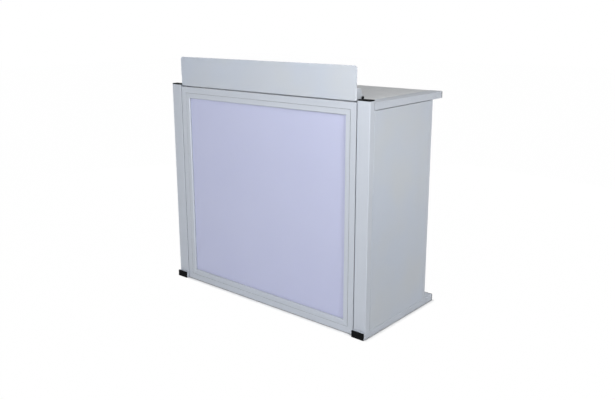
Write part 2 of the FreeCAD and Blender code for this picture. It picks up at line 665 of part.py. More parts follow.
def make_riser_bracket():
    """L-shaped bracket inside the riser's right wing, and the places of its screws."""
    front, rear = PIVOT_Y - WING_EAR, PIVOT_Y + RISER_FOOT_LENGTH
    foot_top = DESK_HEIGHT + BRACKET_WALL
    at = RISER_LEG_INNER
    crown = Part.Arc(Vec(at, front, PIVOT_Z), Vec(at, PIVOT_Y, PIVOT_Z + WING_EAR),
                     Vec(at, PIVOT_Y + WING_EAR, PIVOT_Z)).toShape()
    rest = Part.makePolygon([Vec(at, PIVOT_Y + WING_EAR, PIVOT_Z), Vec(at, rear, foot_top),
                             Vec(at, rear, DESK_HEIGHT), Vec(at, front, DESK_HEIGHT),
                             Vec(at, front, PIVOT_Z)])
    leg = Part.Face(Part.Wire([crown] + rest.Edges)).extrude(X * BRACKET_WALL)
    foot = box((RISER_LEG_OUTER - RISER_FOOT, front, DESK_HEIGHT), (RISER_LEG_OUTER, rear, foot_top))
    hole = rod((at - OVERRUN, PIVOT_Y, PIVOT_Z), X, BRACKET_WALL + 2 * OVERRUN,
               STUD_RADIUS + STUD_SEAT_CLEARANCE)
    across = (RISER_LEG_OUTER - RISER_FOOT + RISER_LEG_INNER) / 2
    places = [Vec(across, front + share * (rear - front), foot_top) for share in RISER_FOOT_SCREW_SHARES]
    return drilled(leg.fuse(foot).removeSplitter().cut(hole), places, Z * -1), places


def pivot_axle(start, end, radius):
    """Cylinder on the riser's pivot axis between two X places."""
    return rod((start, PIVOT_Y, PIVOT_Z), X, end - start, radius)


def make_desk():
    """Nodes of the desk."""
    arm = tube((INNER, ARM_FRONT, ARM_BOTTOM), (OUTER, ARM_REAR, DESK_HEIGHT), Y, TUBE_WALL, TUBE_CORNER)
    _, _, peg_foot, _ = make_cleat()
    arm = arm.cut(rod(peg_foot, Z, CLEAT_WALL + PEG_RISE, PEG_RADIUS + PEG_CLEARANCE))
    cap = end_cap((INNER, ARM_REAR, ARM_BOTTOM), (OUTER, ARM_REAR, DESK_HEIGHT), Y)

    middle = (ARM_BOTTOM + BOARD_BOTTOM - LEDGE_WALL) / 2
    front_rear = ARM_FRONT + FRONT_RAIL_WIDTH
    rails = {"front": (make_front_rail(), front_rear, Y),
             "rear": (make_rear_rail(), ARM_REAR - REAR_RAIL_WIDTH, Y * -1)}
    made_rails, brackets, made_screws = {}, [], []
    for name, (rail, inner_face, along_y) in rails.items():
        bracket, fixings = angle_bracket((INNER, inner_face), X * -1, along_y, middle)
        rail_place, rail_into = fixings[0]
        made_rails[name] = drilled(rail, [rail_place, mirror_point(rail_place)], rail_into)
        arm = drilled(arm, [fixings[1][0]], fixings[1][1])
        brackets.append(bracket)
        for place, into in fixings:
            made_screws += screws([place], into)

    board_half = INNER - BOARD_CLEARANCE
    board = box((-board_half, front_rear + BOARD_CLEARANCE, BOARD_BOTTOM),
                (board_half, ARM_REAR, DESK_HEIGHT))
    riser_bracket, places = make_riser_bracket()
    mirror_places = [mirror_point(place) for place in places]
    front_rail = drilled(made_rails["front"], places + mirror_places, Z * -1)

    stud_end = RISER_HALF + KNOB_GAP + KNOB_LENGTH - KNOB_ROOF - STUD_TIP_GAP
    stud = pivot_axle(RISER_LEG_INNER, stud_end, STUD_RADIUS)
    stud_head = pivot_axle(RISER_LEG_INNER - STUD_HEAD, RISER_LEG_INNER, STUD_HEAD_RADIUS)
    washer = pivot_axle(RISER_LEG_OUTER, RISER_LEG_OUTER + WASHER, WASHER_RADIUS)
    washer = washer.cut(pivot_axle(RISER_LEG_INNER, RISER_HALF, STUD_RADIUS + STUD_CLEARANCE))
    return {
        "desk_arm_right": [arm],
        "desk_arm_left": [mirrored(arm)],
        "desk_arm_caps": both([cap]),
        "desk_front_rail": [front_rail],
        "desk_rear_rail": [made_rails["rear"]],
        "desk_board": [board],
        "desk_corner_brackets": both(brackets),
        "desk_screws": both(made_screws),
        "riser_bracket_right": [riser_bracket],
        "riser_bracket_left": [mirrored(riser_bracket)],
        "riser_bracket_screws": both(screws(places, Z * -1)),
        "pivot_studs": both([stud.fuse(stud_head).removeSplitter()]),
        "pivot_washers": both([washer]),
    }


# Riser: a flat plate with a hem along its lower edge, ends bent back into wings, and a knob on each pivot

def wing_outline():
    """Side view of plate and wing: straight sides, a round upper corner, and an ear about the pivot."""
    front, toe = FRAME_FRONT, DESK_HEIGHT + STOP_GAP
    ear_meet = PIVOT_Z + math.sqrt(WING_EAR ** 2 - (WING_REAR - PIVOT_Y) ** 2)
    slant = WING_CORNER * math.sin(math.pi / 4)
    centre_y, centre_z = WING_REAR - WING_CORNER, WING_TOP - WING_CORNER

    def at(y, z):
        return Vec(-RISER_HALF, y, z)

    ear_end = at(PIVOT_Y, PIVOT_Z - WING_EAR)
    corner = Part.Arc(at(centre_y, WING_TOP), at(centre_y + slant, centre_z + slant),
                      at(WING_REAR, centre_z))
    ear = Part.Arc(at(WING_REAR, ear_meet), at(PIVOT_Y + WING_EAR, PIVOT_Z), ear_end)
    toe_front = PIVOT_Y - STOP_TOE
    lower = Part.makePolygon([ear_end, at(PIVOT_Y, toe), at(toe_front, toe), at(toe_front, RISER_BOTTOM),
                              at(front, RISER_BOTTOM), at(front, WING_TOP), at(centre_y, WING_TOP)])
    back = Part.makePolygon([at(WING_REAR, centre_z), at(WING_REAR, ear_meet)])
    return Part.Wire([corner.toShape()] + back.Edges + [ear.toShape()] + lower.Edges)


def bent_channel(low, high):
    """Plate with both ends bent back, between two heights, longer than the wings need."""
    rear = PIVOT_Y + WING_EAR + OVERRUN
    outer = box((-RISER_HALF, FRAME_FRONT, low), (RISER_HALF, rear, high))
    bends = [edge for edge in edges_along(outer, Z) if edge.Vertexes[0].Point.y < PIVOT_Y]
    outer = outer.makeFillet(RISER_BEND, bends)
    inside = RISER_HALF - RISER_SHEET
    inner = box((-inside, FRAME_FRONT + RISER_SHEET, low - OVERRUN),
                (inside, rear + OVERRUN, high + OVERRUN))
    bends = [edge for edge in edges_along(inner, Z) if edge.Vertexes[0].Point.y < PIVOT_Y]
    return outer.cut(inner.makeFillet(RISER_BEND - RISER_SHEET, bends))


def make_riser():
    """Nodes of the riser and its knobs."""
    channel = bent_channel(DESK_HEIGHT + STOP_GAP, WING_TOP)
    lower = channel.common(Part.Face(wing_outline()).extrude(X * (2 * RISER_HALF)))
    upper = box((-RISER_HALF, FRAME_FRONT, WING_TOP), (RISER_HALF, FRAME_FRONT + RISER_SHEET, RISER_TOP))
    rounded = [edge for edge in edges_along(upper, Y) if edge.Vertexes[0].Point.z > WING_TOP]
    upper = upper.makeFillet(RISER_CORNER, rounded)
    hem_end = RISER_HALF - RISER_BEND - HEM_RELIEF
    hem = box((-hem_end, FRAME_FRONT, RISER_BOTTOM),
              (hem_end, FRAME_FRONT + HEM_DEPTH, RISER_BOTTOM + RISER_SHEET))
    plate = lower.fuse([upper, hem]).removeSplitter()
    plate = plate.cut(pivot_axle(-RISER_HALF - OVERRUN, RISER_HALF + OVERRUN, STUD_RADIUS + STUD_CLEARANCE))

    start = RISER_HALF + KNOB_GAP
    knob = pivot_axle(start, start + KNOB_LENGTH, KNOB_RADIUS)
    rim = [edge for edge in knob.Edges if edge.Closed and edge.BoundBox.Center.x > start + KNOB_LENGTH / 2]
    knob = knob.makeFillet(KNOB_ROUND, rim)
    ring = KNOB_RADIUS + FLUTE_RADIUS - FLUTE_DEPTH
    for count in range(KNOB_FLUTES):
        turn = 2 * math.pi * count / KNOB_FLUTES
        place = Vec(start - OVERRUN, PIVOT_Y + ring * math.cos(turn), PIVOT_Z + ring * math.sin(turn))
        knob = knob.cut(rod(place, X, KNOB_LENGTH + 2 * OVERRUN, FLUTE_RADIUS))
    bore_end = start + KNOB_LENGTH - KNOB_ROOF
    knob = knob.cut(pivot_axle(start - OVERRUN, bore_end, STUD_RADIUS + STUD_CLEARANCE))
    return {"riser_panel": [plate], "riser_knob_right": [knob], "riser_knob_left": [mirrored(knob)]}


def export(nodes):
    """Write one STEP file for each node."""
    os.makedirs("parts", exist_ok=True)
    for name, solids in sorted(nodes.items()):
        shape = solids[0] if len(solids) == 1 else Part.makeCompound(solids)
        shape.exportStep(os.path.join("parts", name + ".step"))
        faulty = [solid for solid in solids if not solid.isValid() or len(solid.Solids) != 1]
        volume = round(shape.Volume / CUBIC_CENTIMETRE, 2)
        print(name, len(solids), "solids", volume, "cm3", "FAULTY" if faulty else "")


def main():
    """Build every sub-assembly and write its nodes."""
    nodes = {}
    for make in (make_base, make_front, make_hinges, make_leaves, make_desk, make_riser):
        nodes.update(make())
    export(nodes)


main()
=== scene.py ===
"""Looks of a free-standing folding DJ booth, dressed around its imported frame.

The booth is satin aluminium tube and sheet round an opal acrylic front, with a textured desk, a
riser plate on two knobs, and moulded caps in the tubes' ends. All places are in metres: +X is the
right side as the audience sees it, +Y points to the open back and +Z is up.
"""

import logging
import math
from dataclasses import dataclass, field
from enum import Enum
from typing import Any, Iterable

import bpy
import numpy as np
from mathutils import Matrix, Vector

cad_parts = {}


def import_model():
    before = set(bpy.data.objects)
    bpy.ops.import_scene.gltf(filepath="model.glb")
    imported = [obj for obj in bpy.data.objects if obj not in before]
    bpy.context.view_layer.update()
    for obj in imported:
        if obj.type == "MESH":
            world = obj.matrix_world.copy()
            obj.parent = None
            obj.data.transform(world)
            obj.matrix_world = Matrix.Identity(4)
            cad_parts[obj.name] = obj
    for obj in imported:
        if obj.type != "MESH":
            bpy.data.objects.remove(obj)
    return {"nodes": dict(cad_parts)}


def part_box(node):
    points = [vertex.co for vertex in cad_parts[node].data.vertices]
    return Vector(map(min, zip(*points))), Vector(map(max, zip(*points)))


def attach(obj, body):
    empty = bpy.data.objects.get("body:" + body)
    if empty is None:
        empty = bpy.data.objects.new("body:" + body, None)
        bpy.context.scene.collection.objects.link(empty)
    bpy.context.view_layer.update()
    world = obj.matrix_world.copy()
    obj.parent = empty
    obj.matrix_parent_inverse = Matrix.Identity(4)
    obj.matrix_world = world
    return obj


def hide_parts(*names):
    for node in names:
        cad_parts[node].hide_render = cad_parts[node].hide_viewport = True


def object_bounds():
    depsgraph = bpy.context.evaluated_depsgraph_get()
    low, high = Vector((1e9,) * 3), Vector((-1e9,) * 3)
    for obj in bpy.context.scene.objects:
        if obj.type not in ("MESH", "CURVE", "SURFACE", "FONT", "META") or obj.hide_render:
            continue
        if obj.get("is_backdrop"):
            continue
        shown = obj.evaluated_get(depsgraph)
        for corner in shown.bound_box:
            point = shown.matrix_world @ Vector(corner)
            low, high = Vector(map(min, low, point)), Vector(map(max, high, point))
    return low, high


LOG = logging.getLogger("dj_booth")
MM = 0.001
WHITE = "FFFFFF"
WELD = 0.01 * MM  # corners nearer than this are one
SHARP = math.radians(35)  # faces that meet at more than this keep a hard edge
END_SHARE = 1 / 8  # part of a piece's length that counts as its end
FEELERS = 6  # rays that feel for an edge or a hollow
EDGE_LEAN = (math.radians(11), math.radians(40))  # lean of an edge where its paler tone, which is wear and also a painted highlight, starts and is full
EDGE_AIR = (0.7, 0.95)  # shares of open air at which an edge has none of that paler tone, and all of it
EDGE_ROOM = 3  # how far that air goes, in reaches of the paler edge
HOLLOW_AIR = (0.3, 0.75)  # shares of open air at which a hollow has all its dust and painted shade, and none

Array = np.ndarray
Piece = bpy.types.Object
Nodes = dict[str, Piece]
Tree = bpy.types.NodeTree
Link = tuple[bpy.types.Node, str]  # a node and the output of it that is linked


class Axis(Enum):
    """The booth's three directions, by their place in a point."""

    X = 0
    Y = 1
    Z = 2

    @property
    def unit(self) -> Array:
        """Unit vector along the axis."""
        return np.eye(3)[self.value]


class Side(Enum):
    """The two ends of the booth, as the audience sees them."""

    RIGHT = "right"
    LEFT = "left"


DUST_AND_SHADE = {Axis.X: "565A60", Axis.Y: "9DA2AA", Axis.Z: "565A60"}  # tone of dust and painted shade in grooves, by run; lighter on arms and runners so that the painted shade in their gaps is fainter


def linear(code: str) -> tuple[float, float, float, float]:
    """Turn an sRGB hex colour into linear light.

    The standard's curve is a straight foot up to a share of 0.04045, and then a power of 2.4.

    Args:
        code: six hex digits, such as "C0C8D0".

    Returns:
        Linear red, green, blue and an alpha of one.
    """
    shares = np.array([int(code[at:at + 2], 16) for at in (0, 2, 4)]) / 255
    light = np.where(shares <= 0.04045, shares / 12.92, ((shares + 0.055) / 1.055) ** 2.4)
    return (*light.tolist(), 1.0)


def add(tree: Tree, kind: str, inputs: dict[str, Any] | None = None,
        **settings: Any) -> bpy.types.Node:
    """Add one shader node with its settings and links.

    Args:
        tree: the node tree that gets it.
        kind: Blender's name for the kind of node.
        inputs: socket identifier to a constant, or to (node, output identifier) for a link.
        settings: the node's own properties.

    Returns:
        The new node.
    """
    made = tree.nodes.new(kind)
    for name, value in settings.items():
        setattr(made, name, value)
    for key, value in (inputs or {}).items():
        socket = next(one for one in made.inputs if one.identifier == key)
        if isinstance(value, tuple) and isinstance(value[0], bpy.types.Node):
            source = next(one for one in value[0].outputs if one.identifier == value[1])
            tree.links.new(source, socket)
        else:
            socket.default_value = value
    return made


def per_metre(size: float) -> float:
    """Texture scale, in repeats for each metre, of a pattern with that real size."""
    return 1 / size


def worn_and_highlit_edges(tree: Tree, reach: float) -> Link:
    """Find the outer edges that hands and transport cases rub, where a paler tone is laid that is
    wear and also a painted highlight.

    The share grows from zero to one as the normal of the edge, rounded over the reach, leans
    further away from the face's own normal. Corners that are hidden in a groove keep none.

    Args:
        tree: the material's node tree.
        reach: how far the wear and painted highlight go in from an edge.

    Returns:
        The share of wear and painted highlight.
    """
    rounded = add(tree, "ShaderNodeBevel", {"Radius": reach}, samples=FEELERS)
    face = add(tree, "ShaderNodeNewGeometry")
    lean = add(tree, "ShaderNodeVectorMath", {
        "Vector": (rounded, "Normal"), "Vector_001": (face, "True Normal")},
        operation="DOT_PRODUCT")
    first, full = (math.cos(angle) for angle in EDGE_LEAN)
    share = add(tree, "ShaderNodeMapRange", {
        "Value": (lean, "Value"), "From Min": first, "From Max": full})
    air = add(tree, "ShaderNodeAmbientOcclusion", {"Distance": EDGE_ROOM * reach}, samples=FEELERS)
    bare = add(tree, "ShaderNodeMapRange", {
        "Value": (air, "AO"), "From Min": EDGE_AIR[0], "From Max": EDGE_AIR[1]})
    kept = add(tree, "ShaderNodeMath", {
        "Value": (share, "Result"), "Value_001": (bare, "Result")}, operation="MULTIPLY")
    return kept, "Value"


def dusty_shaded_hollows(tree: Tree, reach: float) -> Link:
    """Find the grooves and inside corners that hold dust, and where shade is painted.

    The share falls from one to zero as more of the air within the reach is open.

    Args:
        tree: the material's node tree.
        reach: how near the walls of a hollow have to be.

    Returns:
        The share of dust and painted shade.
    """
    air = add(tree, "ShaderNodeAmbientOcclusion", {"Distance": reach}, samples=FEELERS)
    share = add(tree, "ShaderNodeMapRange", {
        "Value": (air, "AO"), "From Min": HOLLOW_AIR[0], "From Max": HOLLOW_AIR[1], "To Min": 1.0,
        "To Max": 0.0})
    return share, "Result"


@dataclass(frozen=True)
class Marks:
    """What a finish's pattern gives over the surface, as links from zero to one."""

    tone: Link  # from the first tone to the second
    gloss: Link  # from one end of the sheen to the other
    height: Link  # from low to high


@dataclass(frozen=True)
class Finish:
    """A surface as it was made: two close tones, how metallic and rough it is, and its relief."""

    name: str
    tone: str
    second_tone: str
    metallic: float
    roughness: float
    specular: float = 0.5
    ior: float = 1.5
    sheen: tuple[float, float] = (0.0, 0.0)  # added to the roughness at the marks' two ends
    relief: float = 0.2  # share of the depth that shows
    depth: float = 0.02 * MM  # from the marks' low to their high

    def material(self) -> bpy.types.Material:
        """The finish's material, which is made once and then shared."""
        known = bpy.data.materials.get(self.name)
        if known:
            return known
        made = bpy.data.materials.new(self.name)
        made.use_nodes = True
        tree = made.node_tree
        tree.nodes.clear()
        shader = add(tree, "ShaderNodeBsdfPrincipled", {
            "Metallic": self.metallic, "Specular IOR Level": self.specular, "IOR": self.ior,
            **self.extras(), **self.surface(tree)})
        add(tree, "ShaderNodeOutputMaterial", {"Surface": (shader, "BSDF")})
        return made

    def surface(self, tree: Tree) -> dict[str, Link]:
        """Turn the pattern's marks, and what lies over them, into colour, gloss and bump.

        Args:
            tree: the material's node tree.

        Returns:
            Shader socket to the link that feeds it.
        """
        place = add(tree, "ShaderNodeTexCoord")
        marks = self.marks(tree, (place, "Object"))
        colour = add(tree, "ShaderNodeMix", {
            "Factor_Float": marks.tone, "A_Color": linear(self.tone),
            "B_Color": linear(self.second_tone)}, data_type="RGBA")
        for code, share in self.overlays(tree):
            colour = add(tree, "ShaderNodeMix", {
                "Factor_Float": share, "A_Color": (colour, "Result_Color"),
                "B_Color": linear(code)}, data_type="RGBA")
        low, high = (self.roughness + change for change in self.sheen)
        gloss = add(tree, "ShaderNodeMapRange", {
            "Value": marks.gloss, "To Min": low, "To Max": high})
        bump = add(tree, "ShaderNodeBump", {
            "Height": marks.height, "Strength": self.relief, "Distance": self.depth})
        return {"Base Color": (colour, "Result_Color"), "Roughness": (gloss, "Result"),
                "Normal": (bump, "Normal")}

    def extras(self) -> dict[str, Any]:
        """Constant shader sockets that only this finish sets."""
        return {}

    def overlays(self, tree: Tree) -> list[tuple[str, Link]]:
        """Tones over the pattern, the lowest first, each with the share of it that shows."""
        return []

    def marks(self, tree: Tree, place: Link) -> Marks:
        """Add the nodes of the pattern.

        Args:
            tree: the material's node tree.
            place: where a point lies on its piece.

        Returns:
            The pattern's marks.
        """
        raise NotImplementedError


@dataclass(frozen=True)
class ExtrudedAluminium(Finish):
    """Aluminium extruded through a die, etched matt and anodised silver.

    The eye sees an even satin grey, with hair-fine die lines along the length, faint clouds where
    the etch took a little more or less, brighter edges that are partly rubbed thin and partly a
    painted highlight, and a dark line in the grooves that is partly dust and partly painted shade.
    """

    sheen: tuple[float, float] = (-0.05, 0.05)
    relief: float = 0.12
    depth: float = 0.02 * MM
    run: Axis = Axis.Z
    # tone of the bright edges: wear, and also a painted highlight
    worn_and_highlit: str = "D6DAE1"
    worn_and_highlit_reach: float = 0.8 * MM
    # how near walls must be for dust and painted shade to darken a groove
    dust_and_shade_reach: float = 4 * MM
    line_width: float = 2.2 * MM  # real die lines are near 0.3 mm, drawn coarser so that they show
    line_length: float = 900 * MM
    line_detail: float = 3.0
    cloud: float = 160 * MM
    cloud_detail: float = 2.0

    def overlays(self, tree: Tree) -> list[tuple[str, Link]]:
        """Bright edges of wear and painted highlight, and over them dust and painted shade in
        grooves and inside corners.
        """
        return [(self.worn_and_highlit, worn_and_highlit_edges(tree, self.worn_and_highlit_reach)),
                (DUST_AND_SHADE[self.run], dusty_shaded_hollows(tree, self.dust_and_shade_reach))]

    def marks(self, tree: Tree, place: Link) -> Marks:
        """Streaks along the run in tone and height, and clouds in the gloss."""
        scale = np.full(3, per_metre(self.line_width))
        scale[self.run.value] = per_metre(self.line_length)
        stretch = add(tree, "ShaderNodeMapping", {"Vector": place, "Scale": scale.tolist()})
        lines = add(tree, "ShaderNodeTexNoise", {
            "Vector": (stretch, "Vector"), "Scale": 1.0, "Detail": self.line_detail})
        clouds = add(tree, "ShaderNodeTexNoise", {
            "Vector": place, "Scale": per_metre(self.cloud), "Detail": self.cloud_detail})
        return Marks((lines, "Fac"), (clouds, "Fac"), (lines, "Fac"))


@dataclass(frozen=True)
class CoatedSheet(Finish):
    """Rolled aluminium sheet with a baked silver coat.

    The eye sees a smooth silver grey, a shallow orange peel in the coat, slow clouds from a bluer
    to a warmer grey, and brighter edges that are partly rubbed thin and partly a painted highlight.
    """

    sheen: tuple[float, float] = (-0.04, 0.04)
    depth: float = 0.03 * MM
    # tone of the bright edges: wear, and also a painted highlight
    worn_and_highlit: str = "D2D7DE"
    worn_and_highlit_reach: float = 1.0 * MM
    peel: float = 4 * MM
    peel_detail: float = 1.0
    cloud: float = 230 * MM
    cloud_detail: float = 2.0
    cloud_span: tuple[float, float] = (0.35, 0.65)  # noise at which one tone or the other is whole

    def overlays(self, tree: Tree) -> list[tuple[str, Link]]:
        """Bright edges of wear and painted highlight."""
        return [(self.worn_and_highlit, worn_and_highlit_edges(tree, self.worn_and_highlit_reach))]

    def marks(self, tree: Tree, place: Link) -> Marks:
        """Clouds in tone and gloss, and orange peel in the height."""
        peel = add(tree, "ShaderNodeTexNoise", {
            "Vector": place, "Scale": per_metre(self.peel), "Detail": self.peel_detail})
        clouds = add(tree, "ShaderNodeTexNoise", {
            "Vector": place, "Scale": per_metre(self.cloud), "Detail": self.cloud_detail})
        spread = add(tree, "ShaderNodeMapRange", {
            "Value": (clouds, "Fac"), "From Min": self.cloud_span[0],
            "From Max": self.cloud_span[1]})
        return Marks((spread, "Result"), (clouds, "Fac"), (peel, "Fac"))


@dataclass(frozen=True)
class OpalAcrylic(Finish):
    """Cast acrylic filled with white pigment and given a satin face.

    The eye sees a soft lilac white that holds a little light under its skin, with pigment clouds,
    the fine tooth of the satin face and long level marks of a wiping cloth in its sheen.
    """

    sheen: tuple[float, float] = (-0.08, 0.08)
    relief: float = 0.15
    depth: float = 0.01 * MM
    cloud: float = 310 * MM
    cloud_detail: float = 1.0
    wipe: float = 70 * MM
    wipe_stretch: float = 4.0
    wipe_detail: float = 3.0
    tooth: float = 1.2 * MM
    tooth_detail: float = 1.0
    glow: float = 0.12  # share of the light that goes under the skin
    glow_reach: tuple[float, float, float] = (4 * MM, 4 * MM, 5 * MM)  # of red, green and blue

    def extras(self) -> dict[str, Any]:
        """A little light under the skin."""
        return {"Subsurface Weight": self.glow, "Subsurface Radius": self.glow_reach,
                "Subsurface Scale": 1.0}

    def marks(self, tree: Tree, place: Link) -> Marks:
        """Pigment clouds in tone, wiping marks in the gloss, and tooth in the height."""
        clouds = add(tree, "ShaderNodeTexNoise", {
            "Vector": place, "Scale": per_metre(self.cloud), "Detail": self.cloud_detail})
        level = per_metre(self.wipe * self.wipe_stretch)
        sweep = add(tree, "ShaderNodeMapping", {
            "Vector": place, "Scale": (level, level, per_metre(self.wipe))})
        wiped = add(tree, "ShaderNodeTexNoise", {
            "Vector": (sweep, "Vector"), "Scale": 1.0, "Detail": self.wipe_detail})
        tooth = add(tree, "ShaderNodeTexNoise", {
            "Vector": place, "Scale": per_metre(self.tooth), "Detail": self.tooth_detail})
        return Marks((clouds, "Fac"), (wiped, "Fac"), (tooth, "Fac"))


@dataclass(frozen=True)
class MouldedPlastic(Finish):
    """Black polyethylene or nylon, moulded in a spark-eroded tool.

    The eye sees a deep soft black with the fine grain that the tool left, greyer on scuffed edges.
    """

    sheen: tuple[float, float] = (-0.12, 0.12)
    relief: float = 0.4
    depth: float = 0.05 * MM
    grain: float = 0.9 * MM
    grain_detail: float = 2.0
    scuffed: str = "34363A"
    scuff_reach: float = 0.8 * MM

    def overlays(self, tree: Tree) -> list[tuple[str, Link]]:
        """Grey edges."""
        return [(self.scuffed, worn_and_highlit_edges(tree, self.scuff_reach))]

    def marks(self, tree: Tree, place: Link) -> Marks:
        """Grain in tone, gloss and height."""
        grain = add(tree, "ShaderNodeTexNoise", {
            "Vector": place, "Scale": per_metre(self.grain), "Detail": self.grain_detail})
        return Marks((grain, "Fac"), (grain, "Fac"), (grain, "Fac"))


@dataclass(frozen=True)
class ZincPlate(Finish):
    """Pressed or turned steel, zinc plated and clear passivated.

    The eye sees a bright grey with a faint mottle in tone and gloss, and a skin that is not quite
    flat.
    """

    sheen: tuple[float, float] = (-0.1, 0.1)
    mottle: float = 7 * MM
    mottle_detail: float = 3.0

    def marks(self, tree: Tree, place: Link) -> Marks:
        """Mottle in tone, gloss and height."""
        mottle = add(tree, "ShaderNodeTexNoise", {
            "Vector": place, "Scale": per_metre(self.mottle), "Detail": self.mottle_detail})
        return Marks((mottle, "Fac"), (mottle, "Fac"), (mottle, "Fac"))


@dataclass(frozen=True)
class EmbossedFilm(Finish):
    """Grey phenolic film, pressed on plywood through a mesh so that gear doesn't slide.

    The eye sees a dull mid grey with rows of small raised studs, paler where hands rub their tips.
    """

    sheen: tuple[float, float] = (0.0, -0.2)  # a rubbed tip is smoother
    relief: float = 0.6
    depth: float = 0.4 * MM
    pitch: float = 10 * MM  # a real mesh is near 5 mm, drawn coarser so that it shows
    stud: tuple[float, float] = (0.15, 0.5)  # radius of a stud's tip and of its foot, in pitches
    turn: float = math.pi / 4
    wear: float = 45 * MM
    wear_detail: float = 4.0

    def marks(self, tree: Tree, place: Link) -> Marks:
        """Studs on a square grid that lies diagonally, with patches where their tips are rubbed."""
        turned = add(tree, "ShaderNodeMapping", {
            "Vector": place, "Rotation": (0.0, 0.0, self.turn)})
        studs = add(tree, "ShaderNodeTexVoronoi", {
            "Vector": (turned, "Vector"), "Scale": per_metre(self.pitch), "Randomness": 0.0},
            voronoi_dimensions="2D")
        height = add(tree, "ShaderNodeMapRange", {
            "Value": (studs, "Distance"), "From Min": self.stud[0], "From Max": self.stud[1],
            "To Min": 1.0, "To Max": 0.0})
        wear = add(tree, "ShaderNodeTexNoise", {
            "Vector": place, "Scale": per_metre(self.wear), "Detail": self.wear_detail})
        rubbed = add(tree, "ShaderNodeMath", {
            "Value": (height, "Result"), "Value_001": (wear, "Fac")}, operation="MULTIPLY")
        return Marks((rubbed, "Value"), (rubbed, "Value"), (height, "Result"))


@dataclass(frozen=True)
class PlyEdge(Finish):
    """Sawn edge of birch plywood under a grey sealer.

    The eye sees thin level bands, where the veneers' grain runs along and across in turn.
    """

    sheen: tuple[float, float] = (0.1, -0.1)
    relief: float = 0.3
    depth: float = 0.1 * MM
    veneer: float = 1.4 * MM
    wave: float = math.tau / 20  # length of the node's own wave at a scale of one
    fibre: float = 0.8 * MM
    fibre_detail: float = 2.0

    def marks(self, tree: Tree, place: Link) -> Marks:
        """Level bands, one wave for two veneers, with short fibres in them."""
        bands = add(tree, "ShaderNodeTexWave", {
            "Vector": place, "Scale": self.wave * per_metre(2 * self.veneer), "Distortion": 0.0},
            bands_direction="Z")
        fibres = add(tree, "ShaderNodeTexNoise", {
            "Vector": place, "Scale": per_metre(self.fibre), "Detail": self.fibre_detail})
        mixed = add(tree, "ShaderNodeMath", {
            "Value": (bands, "Fac"), "Value_001": (fibres, "Fac")}, operation="MULTIPLY")
        return Marks((mixed, "Value"), (mixed, "Value"), (mixed, "Value"))


TUBE = {run: ExtrudedAluminium("satin_anodised_aluminium_" + run.name.lower(), "B3B8C1", "AEB4BC",
                               0.1, 0.5, 0.2, run=run) for run in Axis}
SHEET = CoatedSheet("silver_coated_sheet", "AEB5C0", "B1B6BC", 0.1, 0.5, 0.2)
OPAL = OpalAcrylic("satin_opal_acrylic", "B2B6CE", "ADB1CB", 0.0, 0.45, 0.3, 1.49)
BLACK = MouldedPlastic("moulded_black_plastic", "141517", "0C0D0E", 0.0, 0.7, 0.03)
ZINC = ZincPlate("zinc_plated_steel", "C4C6C8", "B2B5B9", 1.0, 0.36)
FILM = EmbossedFilm("embossed_grey_film", "CDD0D3", "FFFFFF", 0.0, 0.7, 0.2)
PLY = PlyEdge("sealed_plywood_edge", "6E675E", "8E867A", 0.0, 0.7)


def dress(nodes: Nodes, names: Iterable[str], finish: Finish) -> None:
    """Give carried-over nodes a finish in place of their plain one.

    Args:
        nodes: the frame's objects by node name.
        names: the nodes to dress.
        finish: what they get.
    """
    for name in names:
        slots = nodes[name].data.materials
        slots.clear()
        slots.append(finish.material())
        LOG.info("dressed %s in %s", name, finish.name)


def points_of(node: Piece) -> Array:
    """All corners of a node's mesh, as an array of points."""
    flat = np.empty(len(node.data.vertices) * 3)
    node.data.vertices.foreach_get("co", flat)
    return flat.reshape(-1, 3)


def solids_of(node: Piece) -> list[Array]:
    """Split a node's mesh into its separate solids.

    Corners at one place count as one. Each triangle lowers its corners' labels to the least of
    them, pass after pass, until every solid holds a single label.

    Args:
        node: a carried-over object, whose mesh is loose triangles.

    Returns:
        The points of each solid.
    """
    points = points_of(node)
    places, corner = np.unique(np.round(points / WELD), axis=0, return_inverse=True)
    loops = np.empty(len(node.data.loops), dtype=np.int64)
    node.data.loops.foreach_get("vertex_index", loops)
    triangles = corner.ravel()[loops].reshape(-1, 3)
    labels = np.arange(len(places))
    while True:
        lower = labels.copy()
        np.minimum.at(lower, triangles.ravel(), np.repeat(labels[triangles].min(axis=1), 3))
        lower = lower[lower]
        if np.array_equal(lower, labels):
            break
        labels = lower
    found = labels[corner.ravel()]
    return [points[found == label] for label in np.unique(found)]


